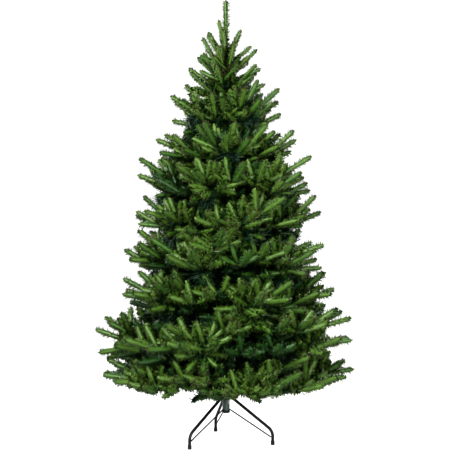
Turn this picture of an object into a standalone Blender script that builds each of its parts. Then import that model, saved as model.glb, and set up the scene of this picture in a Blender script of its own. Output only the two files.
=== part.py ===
"""Artificial Christmas tree, 2.1 m tall, on a steel stand with three legs.

Metres, +Z up, floor at z = 0, origin on the pole's axis. A steel pole in three sections
carries eight tiers of wired boughs, with a bushy leader above them. Every mass of foliage
is one bough's fan: a stem, the sprays that branch from it by a seeded rule, and the
dense inner foliage that they stand out of. A mass keeps to its own space, which is a
sector of its tier, between the surfaces halfway to the tiers above and below.
"""

import math
import random
from typing import NamedTuple

import bmesh
import bpy
from mathutils import Matrix, Vector

GAP = 0.0003  # between pieces that touch
SURFACE_CLEARANCE = 0.002  # between a mass and the edge of its space

# Crown
TREE_HEIGHT = 2.10
CROWN_RADIUS = 0.625  # reach of the widest tier
OUTLINE_POWER = 0.72  # under 1, so that the outline swells below the tip
TIERS = 8
FIRST_TIP_HEIGHT = 0.34  # where the lowest tier's tips are
TIER_STEP = 0.20
TIER_STEP_LOSS = 0.0028  # the tiers draw together with the square of their number
TIER_TRIM = (0.98, 1.0, 0.91, 0.95, 1.0, 1.07, 1.0, 1.0)  # each tier's reach against the outline
BOUGHS_IN_TIER = (5, 5, 5, 5, 5, 5, 4, 4)
LOWEST_RISE = math.radians(4)
RISE_STEP = math.radians(3.5)
TIER_TURN = math.radians(36)  # each tier is turned against the one below
UNDERSIDE_DROP = 0.072  # how far the lowest tier hangs under its boughs
SEED = 11

# Sprays of needles
SPRAY_LENGTH = 0.20
SPRAY_RADIUS = 0.030
TWIG_RADIUS = 0.0040
LONG_TWIG = 0.06  # a shorter one widens into its spray from the foot
STEM_RADIUS = 0.0060
TWIG_ANGLE = math.radians(42)  # between a side twig and its stem
TWIG_START = 0.02  # the nearest to its stem's foot that a side twig leaves it
CORNER_UP = math.pi / 2  # the roll that puts a corner of a twig's foot at its top
SPRAY_SIDES = 3
MOST_OF_TWIG = 0.86  # the longest share of a twig that its spray takes
MOST_OF_REACH = 0.62  # the longest spray against its tier's reach
RING_TWIST = math.radians(50)  # each ring of a spray against the last one
# Rings of a spray, as shares of its length and radius. A wide ring's corners are the needles' ends.
SPRAY_RINGS = ((0.30, 1.0), (0.36, 0.5), (0.64, 0.88))
# Sprays of one fan: each tip's place as shares of the fan's half-width, reach and
# half-thickness. Every second fan is mirrored, and smaller fans have fewer sprays.
SPRAYS = (
    (0.42, 0.985, 0.50),
    (-0.45, 0.975, -0.40),
    (0.86, 0.94, -0.30),
    (-0.84, 0.95, 0.35),
    (0.62, 0.86, 0.90),
    (-0.22, 0.86, 0.92),
    (0.20, 0.90, -0.85),
    (-0.70, 0.84, -0.80),
    (-0.66, 0.80, 0.90),
    (0.64, 0.80, -0.84),
    (0.16, 0.70, 0.96),
)
SPRAYS_IN_TIER = (11, 11, 10, 10, 9, 9, 9, 8)
TURN_JITTER = 0.05
REACH_JITTER = (0.97, 1.02)
LIFT_JITTER = (-0.05, 0.03)
RADIUS_JITTER = (0.9, 1.0)

# Dense inner foliage of a mass: a body with spikes, which stay inside the mass's own space
CORE_START = 0.040  # from the pole's axis
CORE_FROM_STEM = 0.03  # from where the stem starts
CORE_REACH = 0.68
CORE_WIDTH = 0.92
CORE_THICKNESS = 0.96
CORE_FULLNESS = 0.50  # under 1, so that the body fills its space's corners
CORE_SPIKES = (0.90, 1.0)
CORE_DENTS = (0.62, 0.78)  # what lies between the spikes

KEPT_FACES = 0.58  # of a fused mass, once its slivers are merged
FIRM_FOOT = 2 * STEM_RADIUS  # the foot of a mass's stem keeps its faces, this far out
LOOSE_WEIGHT = 1000.0  # how strongly the rest is merged first

# Leader at the top. Each whorl of sprays: height on the stem, reach and height of its tips
LEADER_WHORLS = (
    (1.600, 0.200, 1.715),
    (1.650, 0.190, 1.790),
    (1.720, 0.150, 1.880),
    (1.815, 0.090, 1.965),
)
WHORL_SPRAYS = 5
WHORL_SPRAY_SHARE = 0.84  # of its twig's length
WHORL_RADIUS = 0.024
WHORL_LIFTS = (-0.012, 0.028)  # by turns, so that a whorl's tips are not level
WHORL_TURN_JITTER = 0.1
WHORL_REACH_JITTER = (0.94, 1.02)
LEADER_LOW_SPRAY = (1.84, 1.97)  # the stem's own needles
LEADER_HIGH_SPRAY = (1.912, TREE_HEIGHT)
LEADER_RADII = (0.0216, 0.0150)
LEADER_CORE_HEIGHTS = (1.595, 1.90)
LEADER_CORE_RADIUS = 0.075
LEADER_CORE_TAPER = 0.45

# Pole
POLE_BASE = 0.1503
POLE_TOP = 1.57
POLE_RADII = (0.0150, 0.0125, 0.0100)
POLE_JOINTS = (0.70, 1.16)
POLE_SIDES = 10
COLLAR_RADIUS = 0.024
COLLAR_HEIGHT = 0.018
BOUGH_LENGTH = 0.115
BOUGH_RADII = (0.0065, 0.0050)

# Stand
SLEEVE_RADIUS = 0.0178
SLEEVE_SIDES = 16
SLEEVE_HEIGHTS = (POLE_BASE, 0.245)
STUB_RADIUS = 0.0055
STUB_SIDES = 8
STUB_REACH = 0.030
STUB_HEIGHT = 0.211
LEG_RADIUS = 0.0070
LEG_SLOPE = math.radians(36.3)  # below the horizontal
LEG_BEND = 0.050
LEG_BEND_POINTS = 5
FOOT_REACH = 0.229  # from the pole's axis to each foot
LEG_HEADINGS = {"left": -137, "right": -17, "back": 103}
FOOT_RADIUS = 0.0092
FOOT_SIDES = 12
FOOT_HEIGHT = 0.018
FOOT_FLOOR = 0.004
STRUT_RADIUS = 0.0024
STRUT_HEIGHTS = (0.1545, 0.036)
BOLT_HEIGHT = 0.200
BOLT_RADIUS = 0.0026
BOLT_LENGTH = 0.030
BOLT_EYE = 0.0085
BOLT_SIDES = 8
BOLT_TURN = 60  # degrees from a leg to the next bolt
NUT_RADIUS = 0.0065
NUT_REACH = 0.0215
NUT_SIDES = 6
CAP_HEIGHT = 0.012
CAP_RADIUS = 0.0186
CAP_CHAMFER = 0.003
CAP_SIDES = 16
BORE_PAST = 0.02  # how far the sleeve's cutter runs past it

# Name, colour, roughness and metallic value
FOLIAGE = ("foliage", (0.045, 0.095, 0.018), 0.6, 0.0)
WRAP = ("bough_wrap", (0.12, 0.06, 0.03), 0.8, 0.0)
POLE_PAINT = ("pole_paint", (0.02, 0.045, 0.03), 0.4, 0.3)
SLEEVE_PAINT = ("sleeve_paint", (0.018, 0.036, 0.030), 0.4, 0.3)
BLACK_PAINT = ("black_paint", (0.012, 0.013, 0.014), 0.35, 0.3)
BLACK_PLASTIC = ("black_plastic", (0.02, 0.02, 0.02), 0.55, 0.0)
ZINC = ("zinc", (0.16, 0.17, 0.17), 0.35, 0.9)


def clear_scene():
    for obj in list(bpy.data.objects):
        bpy.data.objects.remove(obj, do_unlink=True)


def material(name, colour, roughness, metallic):
    made = bpy.data.materials.get(name)
    if made is None:
        made = bpy.data.materials.new(name)
        made.use_nodes = True
        shader = made.node_tree.nodes["Principled BSDF"]
        shader.inputs["Base Color"].default_value = (*colour, 1.0)
        shader.inputs["Roughness"].default_value = roughness
        shader.inputs["Metallic"].default_value = metallic
    return made


def add_object(name, data, finish, collection):
    obj = bpy.data.objects.new(name, data)
    data.materials.clear()
    data.materials.append(material(*finish))
    collection.objects.link(obj)
    return obj


def add_bmesh(name, bm, finish, collection):
    """Makes an object of a closed bmesh, with its normals facing out."""
    bmesh.ops.recalc_face_normals(bm, faces=bm.faces)
    if bm.calc_volume(signed=True) < 0:
        bmesh.ops.reverse_faces(bm, faces=bm.faces)
    mesh = bpy.data.meshes.new(name)
    bm.to_mesh(mesh)
    bm.free()
    return add_object(name, mesh, finish, collection)


def applied_mesh(obj):
    """The object's mesh as its modifiers leave it."""
    bpy.context.view_layer.update()
    graph = bpy.context.evaluated_depsgraph_get()
    return bpy.data.meshes.new_from_object(obj.evaluated_get(graph))


def volume_of(faces):
    """The volume inside a closed set of faces, negative where they face inwards."""
    total = 0.0
    for face in faces:
        first, *others = [v.co for v in face.verts]
        for a, b in zip(others, others[1:]):
            total += first.dot(a.cross(b)) / 6
    return total


def islands_of(bm):
    """The mesh's faces, in groups that hang together."""
    left = set(bm.faces)
    while left:
        island = set()
        front = [left.pop()]
        while front:
            face = front.pop()
            island.add(face)
            near = {f for e in face.edges for f in e.link_faces} & left
            left -= near
            front.extend(near)
        yield island


def keep_largest_body(mesh):
    """Drops loose scraps, and the shells of hollows that the union sealed."""
    bm = bmesh.new()
    bm.from_mesh(mesh)
    bodies = sorted(islands_of(bm), key=volume_of)
    scraps = [face for body in bodies[:-1] for face in body]
    bmesh.ops.delete(bm, geom=scraps, context="FACES")
    bmesh.ops.triangulate(bm, faces=bm.faces)
    bm.to_mesh(mesh)
    bm.free()


def fuse(name, pieces, finish, collection, bore=None, solver="EXACT"):
    """Joins closed pieces into one body, by one Boolean union on a collection, and bores it.

    A mass has too many crossing twigs for the exact solver, so it asks for the other one."""
    base, *others = pieces
    joined = bpy.data.collections.new(name + "_pieces")
    bpy.context.scene.collection.children.link(joined)
    for other in others:
        joined.objects.link(other)
    union = base.modifiers.new("Join", "BOOLEAN")
    union.operation = "UNION"
    union.operand_type = "COLLECTION"
    union.collection = joined
    union.solver = solver
    if bore:
        cut = base.modifiers.new("Bore", "BOOLEAN")
        cut.operation = "DIFFERENCE"
        cut.object = bore
    mesh = applied_mesh(base)
    mesh.name = name
    for piece in [*pieces, bore] if bore else pieces:
        bpy.data.objects.remove(piece, do_unlink=True)
    bpy.data.collections.remove(joined)
    keep_largest_body(mesh)
    return add_object(name, mesh, finish, collection)


def merge_slivers(mass, foot):
    """Merges the small faces that fusing leaves, but not those at the foot of the stem."""
    loose = mass.vertex_groups.new(name="Loose")
    places = ((vert.index, (vert.co - foot).length) for vert in mass.data.vertices)
    loose.add([index for index, far in places if far > FIRM_FOOT], 1.0, "REPLACE")
    merge = mass.modifiers.new("Merge", "DECIMATE")
    merge.ratio = KEPT_FACES
    merge.vertex_group = loose.name
    merge.vertex_group_factor = LOOSE_WEIGHT


def turned(name, profile, steps, finish, collection):
    """A turned solid. The profile is (radius, height) pairs, from the axis and back to it."""
    mesh = bpy.data.meshes.new(name)
    points = [(radius, 0.0, height) for radius, height in profile]
    mesh.from_pydata(points, [(i, i + 1) for i in range(len(points) - 1)], [])
    obj = add_object(name, mesh, finish, collection)
    screw = obj.modifiers.new("Turn", "SCREW")
    screw.steps = steps
    screw.render_steps = steps
    screw.use_merge_vertices = True
    screw.merge_threshold = 0.00001
    obj.data.shade_smooth()
    return obj


def tube(name, points, radii, finish, collection):
    """A round bar along points, with a radius at each."""
    curve = bpy.data.curves.new(name, "CURVE")
    curve.dimensions = "3D"
    curve.bevel_depth = 1.0
    curve.bevel_resolution = 2
    curve.use_fill_caps = True
    spline = curve.splines.new("POLY")
    spline.points.add(len(points) - 1)
    for spot, place, radius in zip(spline.points, points, radii):
        spot.co = (*place, 1.0)
        spot.radius = radius
    return add_object(name, curve, finish, collection)


def cylinder(name, start, end, radius, sides, finish, collection):
    """A round bar from start to end, as a mesh."""
    axis = Vector(end) - Vector(start)
    bm = bmesh.new()
    turn = axis.to_track_quat("Z", "Y").to_matrix().to_4x4()
    place = Matrix.Translation((Vector(start) + Vector(end)) / 2) @ turn
    bmesh.ops.create_cone(
        bm, cap_ends=True, segments=sides, radius1=radius, radius2=radius,
        depth=axis.length, matrix=place,
    )
    return add_bmesh(name, bm, finish, collection)


def round_place(heading, radius, height):
    """The point at this heading (radians) and distance from the pole's axis."""
    return Vector((radius * math.cos(heading), radius * math.sin(heading), height))


def faceted_radius(radius, sides, heading):
    """How far a many-sided round face is from its axis, at this heading."""
    half_side = math.pi / sides
    return radius * math.cos(half_side) / math.cos(heading % (2 * half_side) - half_side)


# --- The crown's shape


class Space(NamedTuple):
    """What one mass keeps to: a tier's number, the sector's heading and half its width."""

    tier: int
    heading: float
    half_width: float


def tier_of(number):
    """A tier's reach, its boughs' slope, and the height at which they meet the pole."""
    tip_height = FIRST_TIP_HEIGHT + TIER_STEP * number - TIER_STEP_LOSS * number**2
    widest = FIRST_TIP_HEIGHT + TIER_STEP
    share = min(1.0, (TREE_HEIGHT - tip_height) / (TREE_HEIGHT - widest))
    trim = TIER_TRIM[number] if number < TIERS else 1.0
    reach = CROWN_RADIUS * share**OUTLINE_POWER * trim
    slope = math.tan(LOWEST_RISE + RISE_STEP * number)
    return {"reach": reach, "slope": slope, "collar": tip_height - reach * slope}


def surface_height(number, radius):
    """The height of a tier's boughs at this distance from the pole."""
    tier = tier_of(number)
    return tier["collar"] + tier["slope"] * radius


def floor_and_roof(number, radius):
    """The heights between which a tier's masses stay at this distance from the pole."""
    middle = surface_height(number, radius)
    floor = middle - UNDERSIDE_DROP
    if number > 0:
        floor = (surface_height(number - 1, radius) + middle) / 2
    roof = TREE_HEIGHT
    if number < TIERS:
        roof = (middle + surface_height(number + 1, radius)) / 2
    return floor + SURFACE_CLEARANCE, roof - SURFACE_CLEARANCE


def keeps_to(space, obj):
    """True if every corner of an object lies in this space."""
    for vert in obj.data.vertices:
        radius = math.hypot(vert.co.x, vert.co.y)
        floor, roof = floor_and_roof(space.tier, radius)
        if not floor < vert.co.z < roof:
            return False
        turn = abs(math.remainder(math.atan2(vert.co.y, vert.co.x) - space.heading, math.tau))
        whole_round = space.half_width >= math.pi
        if not whole_round and radius * math.sin(space.half_width - turn) < SURFACE_CLEARANCE:
            return False
    return True


def place_in(space, turn, radius, lift):
    """A point of a space: turn is a share of its half-width, and lift a share of the way
    from the boughs to its floor or roof."""
    middle = surface_height(space.tier, radius)
    floor, roof = floor_and_roof(space.tier, radius)
    rise = (roof - middle) if lift > 0 else (middle - floor)
    return round_place(space.heading + turn * space.half_width, radius, middle + lift * rise)


# --- Sprays and masses


def add_twig(foot, tip, spray_length, spray_radius, roll, collection, foot_radius=TWIG_RADIUS):
    """A three-sided twig that ends in a spray of needles, and closes in a point at its tip.

    It is lofted through rings, each twisted against the last one, so that the corners of
    the wide rings stand out as needles."""
    axis = tip - foot
    start = axis.length - spray_length
    rings = [(0.0, foot_radius)]
    if start > LONG_TWIG:
        rings.append((start, TWIG_RADIUS))
    rings += [(start + at * spray_length, wide * spray_radius) for at, wide in SPRAY_RINGS]
    turn = axis.to_track_quat("Z", "Y").to_matrix()
    bm = bmesh.new()
    loops = []
    for number, (distance, radius) in enumerate(rings):
        loop = []
        for side in range(SPRAY_SIDES):
            angle = roll + RING_TWIST * number + math.tau * side / SPRAY_SIDES
            corner = Vector((radius * math.cos(angle), radius * math.sin(angle), distance))
            loop.append(bm.verts.new(foot + turn @ corner))
        loops.append(loop)
    bm.faces.new(loops[0])
    point = bm.verts.new(tip)
    for side in range(SPRAY_SIDES):
        after = (side + 1) % SPRAY_SIDES
        for low, high in zip(loops, loops[1:]):
            bm.faces.new((low[side], low[after], high[side]))
            bm.faces.new((low[after], high[after], high[side]))
        bm.faces.new((loops[-1][side], loops[-1][after], point))
    return add_bmesh("twig", bm, FOLIAGE, collection)


def add_twigs(space, routes, collection):
    """The twigs that keep to a mass's space. A route is what add_twig takes, up to its roll."""
    kept = []
    for route in routes:
        twig = add_twig(*route, collection)
        if keeps_to(space, twig):
            kept.append(twig)
        else:
            bpy.data.objects.remove(twig)
    return kept


def spiky_ball(rng, fullness=1.0):
    """A ball of radius 1 whose twelve corners are spikes. Under 1, fullness makes it boxy."""
    bm = bmesh.new()
    bmesh.ops.create_icosphere(bm, subdivisions=2, radius=1.0)
    for vert in bm.verts:
        size = rng.uniform(*(CORE_SPIKES if len(vert.link_edges) == 5 else CORE_DENTS))
        vert.co = [math.copysign(abs(c) ** fullness * size, c) for c in vert.co]
    return bm


def add_core(space, start, rng, collection):
    """The dense foliage inside a mass: a spiky ball stretched over the fan."""
    reach = tier_of(space.tier)["reach"] * CORE_REACH
    bm = spiky_ball(rng, CORE_FULLNESS)
    for vert in bm.verts:
        along, aside, up = vert.co
        radius = (start + reach) / 2 + along * (reach - start) / 2
        vert.co = place_in(space, aside * CORE_WIDTH, radius, up * CORE_THICKNESS)
    return add_bmesh("core", bm, FOLIAGE, collection)


def side_twigs(space, start, end, spray_length, rng):
    """The seeded routes of a fan's side twigs, which leave its stem at the twigs' angle."""
    mirror = rng.choice((-1, 1))
    stem = (end - start).normalized()
    reach = tier_of(space.tier)["reach"]
    for turn, share, lift in SPRAYS[: SPRAYS_IN_TIER[space.tier]]:
        turn = mirror * (turn + rng.uniform(-TURN_JITTER, TURN_JITTER))
        radius = reach * share * rng.uniform(*REACH_JITTER)
        tip = place_in(space, turn, radius, lift + rng.uniform(*LIFT_JITTER))
        along = (tip - start).dot(stem)
        aside = (tip - start - stem * along).length
        along -= aside / math.tan(TWIG_ANGLE)
        along = min(max(along, TWIG_START), (end - start).length - spray_length)
        foot = start + stem * along
        own_length = min(spray_length, MOST_OF_TWIG * (tip - foot).length)
        own_radius = SPRAY_RADIUS * rng.uniform(*RADIUS_JITTER)
        yield foot, tip, own_length, own_radius, rng.uniform(0, math.tau)


def add_fan(name, space, start_radius, rng, collection):
    """One mass of foliage: a stem that ends in a spray, side twigs, and the inner core."""
    reach = tier_of(space.tier)["reach"]
    start = place_in(space, 0, start_radius, 0)
    end = place_in(space, 0, reach, 0)
    length = min(SPRAY_LENGTH, MOST_OF_REACH * reach)
    pieces = [
        add_twig(start, end, length, SPRAY_RADIUS, CORNER_UP, collection, STEM_RADIUS),
        add_core(space, max(CORE_START, start_radius + CORE_FROM_STEM), rng, collection),
        *add_twigs(space, side_twigs(space, start, end, length, rng), collection),
    ]
    merge_slivers(fuse(name, pieces, FOLIAGE, collection, solver="MANIFOLD"), start)


def add_leader_core(rng, collection):
    """The dense foliage round the leader's foot: a spiky ball, narrower at its top."""
    low, high = LEADER_CORE_HEIGHTS
    bm = spiky_ball(rng)
    for vert in bm.verts:
        wide = LEADER_CORE_RADIUS * (1 - LEADER_CORE_TAPER * vert.co.z)
        height = (low + high) / 2 + vert.co.z * (high - low) / 2
        vert.co = (vert.co.x * wide, vert.co.y * wide, height)
    return add_bmesh("core", bm, FOLIAGE, collection)


def whorl_twigs(rng):
    """The seeded routes of the twigs round the leader."""
    for number, (height, reach, tip_height) in enumerate(LEADER_WHORLS):
        for spray in range(WHORL_SPRAYS):
            heading = math.tau * (spray + 0.5 * (number % 2)) / WHORL_SPRAYS
            heading += rng.uniform(-WHORL_TURN_JITTER, WHORL_TURN_JITTER)
            lifted = tip_height + WHORL_LIFTS[spray % 2]
            tip = round_place(heading, reach * rng.uniform(*WHORL_REACH_JITTER), lifted)
            foot = Vector((0, 0, height))
            length = WHORL_SPRAY_SHARE * (tip - foot).length
            yield foot, tip, length, WHORL_RADIUS, rng.uniform(0, math.tau)


def add_leader(collection):
    """The tree's top: an upright stem with needles of its own, and whorls of sprays round it."""
    rng = random.Random(SEED)
    start, *marks = (
        Vector((0, 0, height)) for height in (POLE_TOP + GAP, *LEADER_LOW_SPRAY, *LEADER_HIGH_SPRAY)
    )
    low_foot, low_tip, high_foot, high_tip = marks
    low_length = (low_tip - low_foot).length
    high_length = MOST_OF_TWIG * (high_tip - high_foot).length
    low_radius, high_radius = LEADER_RADII
    space = Space(TIERS, 0, math.pi)
    pieces = [
        add_twig(start, low_tip, low_length, low_radius, 0, collection, STEM_RADIUS),
        add_twig(high_foot, high_tip, high_length, high_radius, CORNER_UP, collection),
        add_leader_core(rng, collection),
        *add_twigs(space, whorl_twigs(rng), collection),
    ]
    merge_slivers(fuse("crown_top", pieces, FOLIAGE, collection, solver="MANIFOLD"), start)


def add_bough(name, space, start_radius, rise, collection):
    """A wired bough of the lowest tier. Returns the radius at which its foliage starts."""
    near = start_radius + BOUGH_RADII[0] * math.sin(rise)
    far = near + BOUGH_LENGTH
    ends = [place_in(space, 0, radius, 0) for radius in (near, far)]
    tube(name, ends, BOUGH_RADII, WRAP, collection)
    return far + GAP


def add_crown(collection):
    for number, boughs in enumerate(BOUGHS_IN_TIER):
        rise = math.atan(tier_of(number)["slope"])
        for bough in range(boughs):
            rng = random.Random(SEED + 100 * number + bough)
            heading = math.tau * bough / boughs + TIER_TURN * (number % 2)
            space = Space(number, heading, math.pi / boughs)
            start = faceted_radius(COLLAR_RADIUS, POLE_SIDES, heading) + GAP
            if number == 0:
                start = add_bough(f"bough_{bough + 1}", space, start, rise, collection)
            else:
                start += STEM_RADIUS * math.sin(rise)
            add_fan(f"foliage_tier{number + 1}_{bough + 1}", space, start, rng, collection)
    add_leader(collection)


# --- Pole and stand


def add_trunk(collection):
    """The pole: three sections, each thinner than the one below, with the boughs' collars."""
    heights = (POLE_BASE, *POLE_JOINTS, POLE_TOP)
    profile = []
    for low, high, radius in zip(heights, heights[1:], POLE_RADII):
        profile.append((radius, low))
        for number in range(TIERS):
            middle = surface_height(number, COLLAR_RADIUS)
            if low < middle < high:
                foot, rim = middle - COLLAR_HEIGHT / 2, middle + COLLAR_HEIGHT / 2
                profile += [(radius, foot), (COLLAR_RADIUS, foot), (COLLAR_RADIUS, rim), (radius, rim)]
        profile.append((radius, high))
    profile = [(0.0, POLE_TOP), *reversed(profile), (0.0, POLE_BASE)]
    turned("trunk", profile, POLE_SIDES, POLE_PAINT, collection)


def add_sleeve(collection):
    """The stand's sleeve round the pole's foot, with stubs for the legs and nuts for the bolts."""
    low, high = (Vector((0, 0, height)) for height in SLEEVE_HEIGHTS)
    pieces = [cylinder("sleeve", low, high, SLEEVE_RADIUS, SLEEVE_SIDES, SLEEVE_PAINT, collection)]
    inner = SLEEVE_RADIUS / 2
    for degrees in LEG_HEADINGS.values():
        heading = math.radians(degrees)
        rise = (STUB_REACH - inner) * math.tan(LEG_SLOPE)
        start = round_place(heading, inner, STUB_HEIGHT + rise)
        end = round_place(heading, STUB_REACH, STUB_HEIGHT)
        pieces.append(cylinder("stub", start, end, STUB_RADIUS, STUB_SIDES, SLEEVE_PAINT, collection))
        heading = math.radians(degrees + BOLT_TURN)
        start = round_place(heading, inner, BOLT_HEIGHT)
        end = round_place(heading, NUT_REACH, BOLT_HEIGHT)
        pieces.append(cylinder("nut", start, end, NUT_RADIUS, NUT_SIDES, SLEEVE_PAINT, collection))
    past = Vector((0, 0, BORE_PAST))
    radius = (POLE_RADII[0] + GAP) / math.cos(math.pi / SLEEVE_SIDES)
    bore = cylinder("bore", low - past, high + past, radius, SLEEVE_SIDES, SLEEVE_PAINT, collection)
    fuse("stand_sleeve", pieces, SLEEVE_PAINT, collection, bore=bore)


def leg_route(heading):
    """A leg's centre line: straight down the slope, round the bend, and straight to the floor."""
    corner_height = STUB_HEIGHT - (FOOT_REACH - STUB_REACH) * math.tan(LEG_SLOPE)
    bend = math.pi / 2 - LEG_SLOPE
    centre_reach = FOOT_REACH - LEG_BEND
    centre_height = corner_height - LEG_BEND * math.tan(bend / 2)
    route = [(STUB_REACH + GAP * math.cos(LEG_SLOPE), STUB_HEIGHT - GAP * math.sin(LEG_SLOPE))]
    for step in range(LEG_BEND_POINTS):
        angle = bend * (1 - step / (LEG_BEND_POINTS - 1))
        reach = centre_reach + LEG_BEND * math.cos(angle)
        route.append((reach, centre_height + LEG_BEND * math.sin(angle)))
    route.append((FOOT_REACH, FOOT_FLOOR + GAP))
    return [round_place(heading, reach, height) for reach, height in route]


def add_foot(side, heading, collection):
    """The cup on a leg's end."""
    bore = (LEG_RADIUS + GAP) / math.cos(math.pi / FOOT_SIDES)
    profile = [
        (0.0, FOOT_FLOOR),
        (bore, FOOT_FLOOR),
        (bore, FOOT_HEIGHT),
        (FOOT_RADIUS, FOOT_HEIGHT),
        (FOOT_RADIUS, 0.0),
        (0.0, 0.0),
    ]
    foot = turned(f"foot_{side}", profile, FOOT_SIDES, BLACK_PLASTIC, collection)
    foot.location = round_place(heading, FOOT_REACH, 0)


def add_strut(side, heading, collection):
    """The rod from the sleeve's foot to the end of the leg's bend."""
    near, far = STRUT_HEIGHTS
    slope = math.atan2(near - far, FOOT_REACH - SLEEVE_RADIUS)
    slack = GAP + STRUT_RADIUS * math.sin(slope)
    sleeve = faceted_radius(SLEEVE_RADIUS, SLEEVE_SIDES, heading)
    ends = (
        round_place(heading, sleeve + slack, near),
        round_place(heading, FOOT_REACH - LEG_RADIUS - slack, far),
    )
    tube(f"strut_{side}", ends, [STRUT_RADIUS] * 2, BLACK_PAINT, collection)


def add_eye_bolt(side, heading, collection):
    """An eye bolt that clamps the pole: a shank with a ring to turn it by."""
    start = NUT_REACH + GAP
    ends = [round_place(heading, reach, BOLT_HEIGHT) for reach in (start, start + BOLT_LENGTH)]
    shank = cylinder("shank", *ends, BOLT_RADIUS, BOLT_SIDES, ZINC, collection)
    bpy.ops.mesh.primitive_torus_add(
        major_segments=12, minor_segments=5, major_radius=BOLT_EYE, minor_radius=BOLT_RADIUS,
    )
    eye = bpy.context.object
    reach = start + BOLT_LENGTH + BOLT_EYE - BOLT_RADIUS
    upright = Matrix.Rotation(heading, 4, "Z") @ Matrix.Rotation(math.pi / 2, 4, "X")
    eye.data.transform(Matrix.Translation(round_place(heading, reach, BOLT_HEIGHT)) @ upright)
    fuse(f"eye_bolt_{side}", [shank, eye], ZINC, collection)


def add_pole_cap(collection):
    """The plug under the pole and the sleeve."""
    top = POLE_BASE - GAP
    profile = [
        (0.0, top),
        (CAP_RADIUS, top),
        (CAP_RADIUS, top - CAP_HEIGHT + CAP_CHAMFER),
        (CAP_RADIUS - CAP_CHAMFER, top - CAP_HEIGHT),
        (0.0, top - CAP_HEIGHT),
    ]
    turned("pole_cap", profile, CAP_SIDES, BLACK_PLASTIC, collection)


def add_stand(collection):
    add_sleeve(collection)
    add_pole_cap(collection)
    for side, degrees in LEG_HEADINGS.items():
        heading = math.radians(degrees)
        route = leg_route(heading)
        tube(f"leg_{side}", route, [LEG_RADIUS] * len(route), BLACK_PAINT, collection)
        add_foot(side, heading, collection)
        add_strut(side, heading, collection)
        add_eye_bolt(side, math.radians(degrees + BOLT_TURN), collection)


def main():
    clear_scene()
    tree = bpy.data.collections.new("christmas_tree")
    bpy.context.scene.collection.children.link(tree)
    add_trunk(tree)
    add_stand(tree)
    add_crown(tree)


main()
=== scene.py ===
# Artificial Christmas tree on its folding stand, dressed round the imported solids.
# Metres, +Z up, floor at z = 0, the pole on the Z axis.
import math
import random

import bpy
import numpy as np
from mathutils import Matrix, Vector


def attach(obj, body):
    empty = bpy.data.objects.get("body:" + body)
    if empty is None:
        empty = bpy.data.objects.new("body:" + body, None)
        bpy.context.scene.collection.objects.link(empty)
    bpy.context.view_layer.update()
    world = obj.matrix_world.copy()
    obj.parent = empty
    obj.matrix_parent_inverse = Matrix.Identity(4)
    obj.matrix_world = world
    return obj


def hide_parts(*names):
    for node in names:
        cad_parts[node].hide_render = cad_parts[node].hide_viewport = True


print("loading the packed tree")
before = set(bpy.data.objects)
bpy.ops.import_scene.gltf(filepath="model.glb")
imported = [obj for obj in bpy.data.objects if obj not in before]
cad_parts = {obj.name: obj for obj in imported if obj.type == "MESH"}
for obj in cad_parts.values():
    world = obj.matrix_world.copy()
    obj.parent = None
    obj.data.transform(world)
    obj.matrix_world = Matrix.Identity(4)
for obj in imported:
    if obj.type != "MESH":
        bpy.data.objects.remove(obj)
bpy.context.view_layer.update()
scene = bpy.context.scene
goldenAngle = math.pi * (3 - math.sqrt(5))
upward = Vector((0, 0, 1))


# Camera, floor and light

view = {
    "cameraAt": (-0.0048, -4.5, 1.031),
    "lens": 75.6,  # mm, on a sensor 36 mm wide
    "floorSize": 60.0,  # metres
    "floorColour": "#656564",
    "floorGlow": 0.74,  # shines by itself, so that it is white and the crown's shadow stays faint
    "skyColour": "#ffffff",
    "skyStrength": 0.85,
}
softboxes = (
    # name, where it hangs, where it points, its size, watts
    ("key", (-1.8, -3.8, 3.0), (0, 0, 1.1), 1.4, 410),
    ("fill", (1.9, -4.4, 1.4), (0, 0, 0.9), 2.0, 245),
    ("rim", (2.2, 2.8, 2.8), (0, 0, 1.1), 1.8, 190),
    ("back", (-2.6, 2.6, 1.6), (0, 0, 0.9), 1.8, 150),
)


def linear(hexColour):
    values = [int(hexColour[at:at + 2], 16) / 255 for at in (1, 3, 5)]
    return [v / 12.92 if v <= 0.04045 else ((v + 0.055) / 1.055) ** 2.4 for v in values] + [1.0]


def addNode(material, kind, settings=(), links=()):
    # a setting is one of the node's inputs or of its own properties
    node = material.node_tree.nodes.new(kind)
    for name, value in dict(settings).items():
        if name in node.inputs:
            node.inputs[name].default_value = value
        else:
            setattr(node, name, value)
    for name, source in dict(links).items():
        material.node_tree.links.new(source, node.inputs[name])
    return node


def addGrain(material, shader, grainMm, depthMm, squash=(1, 1, 1)):
    # relief from noise whose grains are this many millimetres wide. squash makes them finer along an axis
    place = addNode(material, "ShaderNodeTexCoord")
    scaled = addNode(material, "ShaderNodeMapping", {"Scale": squash}, {"Vector": place.outputs["Object"]})
    noise = addNode(material, "ShaderNodeTexNoise", {"Scale": 1000 / grainMm, "Detail": 3.0},
                    {"Vector": scaled.outputs["Vector"]})
    bump = addNode(material, "ShaderNodeBump", {"Strength": 1.0, "Distance": depthMm / 1000},
                   {"Height": noise.outputs["Fac"]})
    material.node_tree.links.new(bump.outputs["Normal"], shader.inputs["Normal"])
    return noise


def varyColour(material, shader, noise, darker, lighter):
    # two near shades of one finish, mixed by its grain
    mix = addNode(material, "ShaderNodeMix", {"data_type": "RGBA"}, {"Factor": noise.outputs["Fac"]})
    colours = [socket for socket in mix.inputs if socket.type == "RGBA"]
    colours[0].default_value = linear(darker)
    colours[1].default_value = linear(lighter)
    result = [socket for socket in mix.outputs if socket.type == "RGBA"][0]
    material.node_tree.links.new(result, shader.inputs["Base Color"])


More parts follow.
